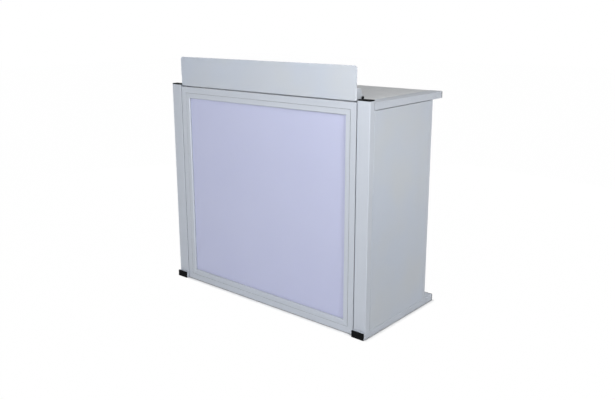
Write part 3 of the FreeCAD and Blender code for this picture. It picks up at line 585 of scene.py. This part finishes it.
@dataclass(frozen=True)
class Seat:
    """Where a turned or moulded piece sits: its tip, its outward axis and its size.

    Local places are (across, other, out): out is measured from the tip along the outward axis, so
    it is less than zero inside the piece.
    """

    tip: Array
    axis: Axis
    sense: float
    size: Array

    @classmethod
    def of(cls, points: Array, axis: Axis) -> "Seat":
        """Read a seat from a solid whose wider end is its outer one.

        Args:
            points: the solid's points.
            axis: the direction that it points along, one way or the other.

        Returns:
            The seat, with its tip in the middle of the outer end.
        """
        low, high = points.min(axis=0), points.max(axis=0)
        middle = (low + high) / 2
        along = points[:, axis.value]
        spread = np.abs(points - middle)
        spread[:, axis.value] = 0
        reach = spread.max(axis=1)
        end = END_SHARE * (high - low)[axis.value]
        upper = reach[along > high[axis.value] - end].max()
        lower = reach[along < low[axis.value] + end].max()
        sense = 1.0 if upper > lower else -1.0
        tip = middle.copy()
        tip[axis.value] = high[axis.value] if sense > 0 else low[axis.value]
        return cls(tip, axis, sense, high - low)

    def place(self, across: Array, other: Array, out: Array) -> Array:
        """Turn local places into the booth's frame.

        Args:
            across: distances along the first direction at right angles to the axis.
            other: distances along the second one.
            out: distances from the tip, along the outward axis.

        Returns:
            Points, with one more dimension than the arguments.
        """
        outward = self.axis.unit * self.sense
        first = np.roll(self.axis.unit, 1)
        second = np.cross(outward, first)
        return (self.tip + across[..., None] * first + other[..., None] * second
                + out[..., None] * outward)

    def widths(self) -> tuple[float, float]:
        """Full sizes along the two directions at right angles to the axis."""
        first = int(np.argmax(np.roll(self.axis.unit, 1)))
        second = 3 - first - self.axis.value
        return float(self.size[first]), float(self.size[second])

    @property
    def depth(self) -> float:
        """Full size along the axis."""
        return float(self.size[self.axis.value])


def lofted(name: str, stacks: list[Array], finish: Finish) -> Piece:
    """Skin stacks of rings, as one mesh.

    Point (i, j) of a stack is joined to (i + 1, j) and to (i, j + 1), where j wraps round. One flat
    face closes each end.

    Args:
        name: the new object's name.
        stacks: arrays of (rings, points in a ring, 3), each ring turning leftwards about the way
            that the rings advance.
        finish: what the piece is dressed in.

    Returns:
        The new object, which sits at the origin.
    """
    corners, faces, start = [], [], 0
    for stack in stacks:
        rings, count = stack.shape[:2]
        index = start + np.arange(rings * count).reshape(rings, count)
        ahead = np.roll(index, -1, axis=1)
        quads = np.stack([index[:-1], ahead[:-1], ahead[1:], index[1:]], axis=-1)
        faces += quads.reshape(-1, 4).tolist()
        faces += [index[0, ::-1].tolist(), index[-1].tolist()]
        corners.append(stack.reshape(-1, 3))
        start += rings * count
    mesh = bpy.data.meshes.new(name)
    mesh.from_pydata(np.concatenate(corners).tolist(), [], faces)
    mesh.polygons.foreach_set("use_smooth", np.ones(len(mesh.polygons), dtype=bool))
    mesh.set_sharp_from_angle(angle=SHARP)
    mesh.materials.append(finish.material())
    mesh.update()
    made = bpy.data.objects.new(name, mesh)
    bpy.context.scene.collection.objects.link(made)
    return made


def settle(piece: Piece, body: str, slot: str, *stands_for: str) -> None:
    """Let a new piece ride on a body in place of frame nodes.

    Args:
        piece: the finished piece.
        body: the body that carries it.
        slot: the record's material slot that it belongs to; not used.
        stands_for: the nodes that it replaces.
    """
    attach(piece, body)
    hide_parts(*stands_for)
    LOG.info("built %s on %s", piece.name, body)


def rounded_ring(width: Array, height: Array, corner: Array, steps: int = 5) -> tuple[Array, Array]:
    """Rounded rectangles about the origin, one for each row of sizes.

    Each corner is a quarter circle about a centre that lies one radius in from both sides.

    Args:
        width: full widths, one for each ring.
        height: full heights.
        corner: corner radii.
        steps: steps in each quarter circle.

    Returns:
        Two arrays of (rings, points): the places along the width and along the height.
    """
    turn = np.linspace(0, math.pi / 2, steps + 1)
    quarter = np.arange(4) * math.pi / 2
    angle = (quarter[:, None] + turn).ravel()
    side_x = np.repeat(np.sign(np.cos(quarter + math.pi / 4)), steps + 1)
    side_y = np.repeat(np.sign(np.sin(quarter + math.pi / 4)), steps + 1)
    inner_x, inner_y = width / 2 - corner, height / 2 - corner
    across = inner_x[:, None] * side_x + corner[:, None] * np.cos(angle)
    other = inner_y[:, None] * side_y + corner[:, None] * np.sin(angle)
    return across, other


@dataclass(frozen=True)
class TubeCap:
    """Moulded plug in a tube's end: a flange with a rolled rim and a low crown."""

    flange: float = 5.5 * MM
    rim: float = 1.3 * MM
    crown: float = 0.5 * MM
    corner: float = 2.5 * MM
    plug_inset: float = 2.2 * MM
    least_corner: float = 0.4 * MM
    middle_share: float = 1 / 8  # last ring of the crown, as a share of the one before it
    rim_steps: int = 6
    crown_steps: int = 8

    def rings(self, seat: Seat) -> Array:
        """Rings from the plug's inner end to the middle of the crown.

        The rim is a quarter circle. On the crown, rings shrink to a share s of the face, and their
        height falls short of the tip by the crown times s squared.

        Args:
            seat: where the cap sits.

        Returns:
            An array of (rings, points, 3).
        """
        wide, tall = seat.widths()
        turn = np.linspace(0, math.pi / 2, self.rim_steps + 1)
        inset = np.concatenate([[self.plug_inset, self.plug_inset, 0.0],
                                self.rim * (1 - np.cos(turn))])
        shoulder = -self.crown - self.rim
        out = np.concatenate([[-seat.depth, -self.flange, -self.flange],
                              shoulder + self.rim * np.sin(turn)])
        corner = np.maximum(self.corner - inset, self.least_corner)
        across, other = rounded_ring(wide - 2 * inset, tall - 2 * inset, corner)
        share = np.linspace(1, 0, self.crown_steps + 1)[1:]
        share[-1] = share[-2] * self.middle_share
        across = np.concatenate([across, share[:, None] * across[-1]])
        other = np.concatenate([other, share[:, None] * other[-1]])
        out = np.concatenate([out, -self.crown * share ** 2])
        return seat.place(across, other, np.broadcast_to(out[:, None], across.shape))

    def fit(self, name: str, nodes: Nodes, node: str, body: str, axis: Axis) -> None:
        """Put a cap on each tube end that a node's solids close.

        Args:
            name: the new piece's name.
            nodes: the frame's objects.
            node: the node that the caps stand for.
            body: the body that carries them.
            axis: the way that the tubes run.
        """
        stacks = [self.rings(Seat.of(points, axis)) for points in solids_of(nodes[node])]
        settle(lofted(name, stacks, BLACK), body, "black_plastic", node)


@dataclass(frozen=True)
class PanScrew:
    """Pan-head screw with a hexagon socket."""

    shank: float = 2.0 * MM  # radius
    head: float = 4.0 * MM  # radius
    head_height: float = 1.2 * MM
    head_round: float = 0.8 * MM
    socket: float = 1.45 * MM  # from the middle to a corner
    socket_depth: float = 1.0 * MM
    tip_chamfer: float = 0.5 * MM
    points: int = 24  # in a ring
    round_steps: int = 4

    def rings(self, seat: Seat) -> Array:
        """Rings from the shank's tip, over the head and down into the socket.

        A ring of the socket is a hexagon: its radius is the flat's distance over the cosine of the
        turn from the nearest flat's middle.

        Args:
            seat: where the screw sits.

        Returns:
            An array of (rings, points, 3).
        """
        angle = np.linspace(0, math.tau, self.points, endpoint=False)
        sixth = math.tau / 6
        flat = self.socket * math.cos(sixth / 2)
        hexagon = flat / np.cos((angle + sixth / 2) % sixth - sixth / 2)
        turn = np.linspace(0, math.pi / 2, self.round_steps + 1)
        round_radius = self.head - self.head_round * (1 - np.cos(turn))
        round_out = -self.head_round * (1 - np.sin(turn))
        radius = np.concatenate([[self.shank - self.tip_chamfer, self.shank, self.shank, self.head],
                                 round_radius])
        out = np.concatenate([[-seat.depth, self.tip_chamfer - seat.depth, -self.head_height,
                               -self.head_height], round_out])
        reach = np.concatenate([np.broadcast_to(radius[:, None], (len(radius), self.points)),
                                np.broadcast_to(hexagon, (2, self.points))])
        out = np.concatenate([out, [0.0, -self.socket_depth]])
        return seat.place(reach * np.cos(angle), reach * np.sin(angle),
                          np.broadcast_to(out[:, None], reach.shape))

    def drive(self, name: str, nodes: Nodes, node: str, body: str) -> None:
        """Put a screw at each solid of a node, along that solid's longest side.

        Args:
            name: the new piece's name.
            nodes: the frame's objects.
            node: the node that the screws stand for.
            body: the body that carries them.
        """
        stacks = []
        for points in solids_of(nodes[node]):
            longest = Axis(int(np.argmax(np.ptp(points, axis=0))))
            stacks.append(self.rings(Seat.of(points, longest)))
        settle(lofted(name, stacks, ZINC), body, "zinc_steel", node)


@dataclass(frozen=True)
class FlutedKnob:
    """Moulded hand knob with flutes round its grip and a dished end, bored for its stud."""

    flutes: int = 8
    flute_depth: float = 0.6 * MM
    rim: float = 0.9 * MM
    dish: float = 0.5 * MM
    dish_share: float = 0.62  # mouth of the dish, as a share of the grip's radius
    dish_taper: float = 0.9  # floor of the dish, as a share of its mouth
    dish_middle: float = 0.05  # ring that closes the floor, as a share of the grip's radius
    bore: float = 2.58 * MM  # radius
    roof: float = 1.5 * MM  # from the tip to the bore's closed end
    points_per_flute: int = 8
    rim_steps: int = 5

    def rings(self, seat: Seat) -> Array:
        """Rings from the bore's roof, out of the bore, over the grip and into the dish.

        The grip's radius falls by the flute depth times the cube of a raised cosine of the turn.

        Args:
            seat: where the knob sits.

        Returns:
            An array of (rings, points, 3).
        """
        angle = np.linspace(0, math.tau, self.flutes * self.points_per_flute, endpoint=False)
        radius = min(seat.widths()) / 2
        valley = self.flute_depth * ((1 + np.cos(self.flutes * angle)) / 2) ** 3
        turn = np.linspace(0, math.pi / 2, self.rim_steps + 1)
        bore = np.full((2, len(angle)), self.bore)
        grip = np.concatenate([np.array([radius - self.rim / 2, radius, radius]),
                               radius - self.rim * (1 - np.cos(turn))])[:, None] - valley
        dish = np.outer([self.dish_share, self.dish_share * self.dish_taper, self.dish_middle],
                        np.full(len(angle), radius))
        reach = np.concatenate([bore, grip, dish])
        base = -seat.depth
        out = np.concatenate([[-self.roof, base, base, base + self.rim / 2, -self.rim],
                              -self.rim * (1 - np.sin(turn)), [0.0, -self.dish, -self.dish]])
        return seat.place(reach * np.cos(angle), reach * np.sin(angle),
                          np.broadcast_to(out[:, None], reach.shape))

    def fit(self, name: str, nodes: Nodes, node: str, body: str, sense: float) -> None:
        """Put the knob on its stud.

        Args:
            name: the new piece's name.
            nodes: the frame's objects.
            node: the node that the knob stands for.
            body: the body that carries it.
            sense: one where it points to +X, and minus one where it points to -X.
        """
        points = points_of(nodes[node])
        low, high = points.min(axis=0), points.max(axis=0)
        tip = (low + high) / 2
        tip[0] = high[0] if sense > 0 else low[0]
        seat = Seat(tip, Axis.X, sense, high - low)
        settle(lofted(name, [self.rings(seat)], BLACK), body, "black_plastic", node)


@dataclass(frozen=True)
class DeskBoard:
    """Film-faced plywood: a slab with eased edges, film on its faces and sealer round its edge."""

    ease: float = 0.6 * MM
    corner: float = 1.5 * MM
    ease_steps: int = 4
    level_rise: float = 0.5  # a face is level where its normal rises by more than this

    def rings(self) -> Array:
        """Rings from the lower face to the upper one, each eased by a quarter circle.

        Returns:
            An array of (rings, points, 3).
        """
        low, high = (np.array(corner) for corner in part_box("desk_board"))
        size, middle = high - low, (low + high) / 2
        turn = np.linspace(0, math.pi / 2, self.ease_steps + 1)
        lower = self.ease * (1 - np.sin(turn))
        inset = np.concatenate([lower, lower[::-1]])
        height = np.concatenate([low[2] + self.ease * (1 - np.cos(turn)),
                                 high[2] - self.ease * (1 - np.cos(turn[::-1]))])
        across, other = rounded_ring(size[0] - 2 * inset, size[1] - 2 * inset, self.corner - inset)
        level = np.broadcast_to(height[:, None], across.shape)
        return np.stack([across + middle[0], other + middle[1], level], axis=-1)

    def build(self) -> None:
        """Lay the board, with film on its level faces and sealer on the rest."""
        made = lofted("desk_board_faced", [self.rings()], FILM)
        mesh = made.data
        mesh.materials.append(PLY.material())
        normals = np.empty(len(mesh.polygons) * 3)
        mesh.polygons.foreach_get("normal", normals)
        level = np.abs(normals.reshape(-1, 3)[:, 2]) > self.level_rise
        mesh.polygons.foreach_set("material_index", np.where(level, 0, 1).astype(np.int32))
        settle(made, "desk", "textured_board", "desk_board")


@dataclass
class Base:
    """Runners on the floor, the rail between them and the spigots that the posts drop over."""

    nodes: Nodes
    cap: TubeCap = field(default_factory=TubeCap)
    screw: PanScrew = field(default_factory=PanScrew)

    def build(self) -> None:
        """Cap the runners and drive the screws."""
        self.cap.fit("foot_caps_front", self.nodes, "runner_caps_front", "base", Axis.Y)
        self.cap.fit("foot_caps_rear", self.nodes, "runner_caps_rear", "base", Axis.Y)
        self.screw.drive("base_socket_screws", self.nodes, "base_screws", "base")

    def dress(self) -> None:
        """Finish what is carried over from the frame."""
        dress(self.nodes, ["runner_right", "runner_left"], TUBE[Axis.Y])
        dress(self.nodes, ["base_cross_rail"], TUBE[Axis.X])
        dress(self.nodes, ["base_corner_brackets"], ZINC)
        dress(self.nodes, ["post_spigots"], BLACK)


@dataclass
class Front:
    """Posts, the frame round the opal panel, the desk's cleats and the hinges' fixed halves."""

    nodes: Nodes
    cap: TubeCap = field(default_factory=TubeCap)
    screw: PanScrew = field(default_factory=PanScrew)

    def build(self) -> None:
        """Cap the posts and drive the screws."""
        for name in (side.value for side in Side):
            self.cap.fit("post_end_cap_" + name, self.nodes, "post_cap_" + name, "front", Axis.Z)
        self.screw.drive("cleat_socket_screws", self.nodes, "cleat_screws", "front")
        self.screw.drive("post_hinge_socket_screws", self.nodes, "post_hinge_screws", "front")

    def dress(self) -> None:
        """Finish what is carried over from the frame."""
        level, upright = ("top", "bottom"), ("left", "right")
        dress(self.nodes, ["post_right", "post_left"], TUBE[Axis.Z])
        for piece in ("frame_rail_", "frame_bezel_"):
            dress(self.nodes, [piece + side for side in level], TUBE[Axis.X])
            dress(self.nodes, [piece + side for side in upright], TUBE[Axis.Z])
        dress(self.nodes, ["opal_panel"], OPAL)
        dress(self.nodes, ["frame_spacers"], BLACK)
        dress(self.nodes, ["frame_corner_keys", "frame_bolts", "desk_cleats", "desk_pegs",
                           "post_hinge_plates", "hinge_pins"], ZINC)


@dataclass
class SideLeaf:
    """One side of the booth: a tube frame behind a sheet, on three hinges."""

    nodes: Nodes
    side: Side
    screw: PanScrew = field(default_factory=PanScrew)

    def build(self) -> None:
        """Drive the screws of the hinges' moving halves."""
        name = self.side.value
        self.screw.drive("leaf_hinge_socket_screws_" + name, self.nodes,
                         "leaf_hinge_screws_" + name, name + "_leaf")

    def dress(self) -> None:
        """Finish what is carried over from the frame."""
        name = "_" + self.side.value
        dress(self.nodes, ["hinge_stile" + name, "rear_stile" + name], TUBE[Axis.Z])
        dress(self.nodes, ["leaf_top_rail" + name, "leaf_bottom_rail" + name], TUBE[Axis.Y])
        dress(self.nodes, ["side_panel" + name], SHEET)
        dress(self.nodes, ["leaf_hinge_plates" + name], ZINC)


@dataclass
class Desk:
    """Arms, rails and board of the desk, and the brackets that carry the riser."""

    nodes: Nodes
    cap: TubeCap = field(default_factory=TubeCap)
    screw: PanScrew = field(default_factory=PanScrew)
    board: DeskBoard = field(default_factory=DeskBoard)

    def build(self) -> None:
        """Cap the arms, lay the board and drive the screws."""
        self.cap.fit("arm_end_caps", self.nodes, "desk_arm_caps", "desk", Axis.Y)
        self.board.build()
        self.screw.drive("desk_socket_screws", self.nodes, "desk_screws", "desk")
        self.screw.drive("riser_bracket_socket_screws", self.nodes, "riser_bracket_screws", "desk")

    def dress(self) -> None:
        """Finish what is carried over from the frame."""
        dress(self.nodes, ["desk_arm_right", "desk_arm_left"], TUBE[Axis.Y])
        dress(self.nodes, ["desk_front_rail", "desk_rear_rail"], TUBE[Axis.X])
        dress(self.nodes, ["desk_corner_brackets", "riser_bracket_right", "riser_bracket_left",
                           "pivot_studs"], ZINC)
        dress(self.nodes, ["pivot_washers"], BLACK)


@dataclass
class Riser:
    """The bent plate above the front, and the knobs that clamp it."""

    nodes: Nodes
    knob: FlutedKnob = field(default_factory=FlutedKnob)

    def build(self) -> None:
        """Put a knob on each pivot."""
        for side, sense in ((Side.RIGHT, 1.0), (Side.LEFT, -1.0)):
            self.knob.fit("fluted_knob_" + side.value, self.nodes, "riser_knob_" + side.value,
                          side.value + "_knob", sense)

    def dress(self) -> None:
        """Finish what is carried over from the frame."""
        dress(self.nodes, ["riser_panel"], SHEET)


@dataclass(frozen=True)
class SoftBox:
    """A square studio lamp behind a diffuser."""

    name: str
    place: tuple[float, float, float]
    aim: tuple[float, float, float]
    size: float  # length of a side
    power: float  # watts
    glint: bool = False  # seen in highlights alone

    def hang(self) -> None:
        """Put the lamp up, out of the camera's sight."""
        lamp = bpy.data.lights.new(self.name, "AREA")
        lamp.size = self.size
        lamp.energy = self.power
        hung = bpy.data.objects.new(self.name, lamp)
        hung.location = self.place
        ahead = Vector(self.aim) - Vector(self.place)
        hung.rotation_euler = ahead.to_track_quat("-Z", "Y").to_euler()
        hung.visible_camera = False
        hung.visible_diffuse = not self.glint
        bpy.context.scene.collection.objects.link(hung)


@dataclass(frozen=True)
class Studio:
    """White room: a pale floor, an even sky and soft boxes.

    The floor shows its shadows beside the booth, darkened by a painted shadow where a piece stands
    close, and fades to plain white away from it.
    """

    footprint: tuple[float, float]
    floor_half: float = 15.0
    sky: float = 0.17  # strength of the light from all round
    floor_tone: str = "F4F4F4"
    white_far: float = 0.995  # share of the floor's look that is plain white, away from the booth
    fade: float = 20 * MM  # how far out from the booth that share is reached
    painted_shadow_reach: float = 8 * MM  # how near a piece must be for the floor to get a painted shadow at its foot
    boxes: tuple[SoftBox, ...] = (
        SoftBox("front_box", (0.0, -3.2, 1.5), (0.0, 0.0, 0.6), 2.0, 57.5),
        SoftBox("corner_box", (0.7, -1.1, 1.5), (0.45, -0.25, 0.95), 0.4, 3.0),
        SoftBox("key_box", (2.0, -0.9, 1.8), (0.3, -0.2, 0.8), 0.5, 25.5),
        SoftBox("side_box", (1.9, 1.3, 0.25), (0.57, 0.2, 0.1), 0.8, 7.0),
        SoftBox("glint_box", (1.6, -2.0, 0.5), (0.0, -0.3, 0.6), 0.8, 50.0, glint=True),
        SoftBox("left_box", (-2.6, 1.6, 0.6), (0.0, 0.0, 0.6), 1.6, 38.0),
        SoftBox("back_box", (0.3, 3.0, 0.6), (0.0, 0.0, 0.6), 2.0, 44.0),
    )

    def seen(self, tree: Tree) -> Link:
        """One where the camera, a reflection or a view through glass sees it, else zero."""
        path = add(tree, "ShaderNodeLightPath")
        direct = add(tree, "ShaderNodeMath", {
            "Value": (path, "Is Camera Ray"), "Value_001": (path, "Is Glossy Ray")},
            operation="MAXIMUM")
        every = add(tree, "ShaderNodeMath", {
            "Value": (direct, "Value"), "Value_001": (path, "Is Transmission Ray")},
            operation="MAXIMUM")
        return every, "Value"

    def light(self) -> None:
        """Make the sky, white where it is seen, and hang the lamps."""
        world = bpy.data.worlds.new("white_room")
        world.use_nodes = True
        tree = world.node_tree
        tree.nodes.clear()
        glow = add(tree, "ShaderNodeBackground", {"Color": linear(WHITE), "Strength": self.sky})
        white = add(tree, "ShaderNodeBackground", {"Color": linear(WHITE), "Strength": 1.0})
        mixed = add(tree, "ShaderNodeMixShader", {
            "Fac": self.seen(tree), "Shader": (glow, "Background"),
            "Shader_001": (white, "Background")})
        add(tree, "ShaderNodeOutputWorld", {"Surface": (mixed, "Shader")})
        bpy.context.scene.world = world
        for box in self.boxes:
            box.hang()

    def lay_floor(self) -> None:
        """Lay the floor: pale to the light, and white with faint shadows where it is seen, with a
        painted shadow at the pieces' feet.
        """
        half = self.floor_half
        mesh = bpy.data.meshes.new("studio_floor")
        corners = [(-half, -half, 0), (half, -half, 0), (half, half, 0), (-half, half, 0)]
        mesh.from_pydata(corners, [], [(0, 1, 2, 3)])
        made = bpy.data.materials.new("pale_studio_floor")
        made.use_nodes = True
        tree = made.node_tree
        tree.nodes.clear()
        pale = add(tree, "ShaderNodeBsdfDiffuse", {"Color": linear(self.floor_tone)})
        # painted shadow: the floor's tone darkens by ambient occlusion next to the pieces
        near = add(tree, "ShaderNodeAmbientOcclusion", {
            "Color": linear(self.floor_tone), "Distance": self.painted_shadow_reach})
        painted_shadow_floor = add(tree, "ShaderNodeBsdfDiffuse", {"Color": (near, "Color")})
        white = add(tree, "ShaderNodeEmission", {"Color": linear(WHITE), "Strength": 1.0})
        place = add(tree, "ShaderNodeTexCoord")
        aside = add(tree, "ShaderNodeVectorMath", {
            "Vector": (place, "Object")}, operation="ABSOLUTE")
        beyond = add(tree, "ShaderNodeVectorMath", {
            "Vector": (aside, "Vector"), "Vector_001": (*self.footprint, 0.0)},
            operation="SUBTRACT")
        outside = add(tree, "ShaderNodeVectorMath", {
            "Vector": (beyond, "Vector"), "Vector_001": (0.0, 0.0, 0.0)}, operation="MAXIMUM")
        reach = add(tree, "ShaderNodeVectorMath", {
            "Vector": (outside, "Vector")}, operation="LENGTH")
        share = add(tree, "ShaderNodeMapRange", {
            "Value": (reach, "Value"), "From Max": self.fade, "To Max": self.white_far},
            interpolation_type="SMOOTHSTEP")
        look = add(tree, "ShaderNodeMixShader", {
            "Fac": (share, "Result"), "Shader": (painted_shadow_floor, "BSDF"),
            "Shader_001": (white, "Emission")})
        mixed = add(tree, "ShaderNodeMixShader", {
            "Fac": self.seen(tree), "Shader": (pale, "BSDF"), "Shader_001": (look, "Shader")})
        add(tree, "ShaderNodeOutputMaterial", {"Surface": (mixed, "Shader")})
        mesh.materials.append(made)
        floor = bpy.data.objects.new("studio_floor", mesh)
        bpy.context.scene.collection.objects.link(floor)
        floor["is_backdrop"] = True


@dataclass(frozen=True)
class PhotoCamera:
    """The camera that took the photograph, from its straight edges."""

    place: tuple[float, float, float] = (2.0395, -2.4219, 1.2871)
    yaw: float = 41.41  # degrees to the left of +Y
    pitch: float = 13.74  # degrees down
    roll: float = -0.45  # degrees
    image: tuple[int, int] = (615, 400)
    focal: float = 694.6  # pixels
    centre: tuple[float, float] = (284.1, 184.3)  # pixel that the lens points at
    sensor: float = 36.0  # millimetres

    def stand(self) -> None:
        """Put the camera up and make it the scene's own."""
        yaw, pitch, roll = (math.radians(angle) for angle in (self.yaw, self.pitch, self.roll))
        ahead = Vector((-math.sin(yaw) * math.cos(pitch), math.cos(yaw) * math.cos(pitch),
                        -math.sin(pitch)))
        level = Vector((math.cos(yaw), math.sin(yaw), 0.0))
        upright = level.cross(ahead)
        right = math.cos(roll) * level + math.sin(roll) * upright
        above = math.cos(roll) * upright - math.sin(roll) * level
        lens = bpy.data.cameras.new("photo_camera")
        lens.sensor_fit = "HORIZONTAL"
        lens.sensor_width = self.sensor
        wide, tall = self.image
        lens.lens = self.focal * self.sensor / wide
        lens.shift_x = (wide / 2 - self.centre[0]) / wide
        lens.shift_y = (self.centre[1] - tall / 2) / wide
        camera = bpy.data.objects.new("photo_camera", lens)
        turned = Matrix((right, above, -ahead)).transposed().to_4x4()
        camera.matrix_world = Matrix.Translation(self.place) @ turned
        bpy.context.scene.collection.objects.link(camera)
        bpy.context.scene.camera = camera


def main() -> None:
    """Build the booth's looks in order."""
    logging.basicConfig(level=logging.INFO, format="%(name)s: %(message)s")
    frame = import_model()
    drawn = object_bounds()
    nodes = frame["nodes"]
    bpy.context.scene.view_settings.view_transform = "Standard"
    leaves = [SideLeaf(nodes, side) for side in Side]
    assemblies = [Base(nodes), Front(nodes), *leaves, Desk(nodes), Riser(nodes)]
    for assembly in assemblies:
        assembly.build()
        assembly.dress()
    studio = Studio((drawn[1].x, -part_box("post_right")[0][1]))
    studio.lay_floor()
    studio.light()
    PhotoCamera().stand()


if __name__ == "__main__":
    main()
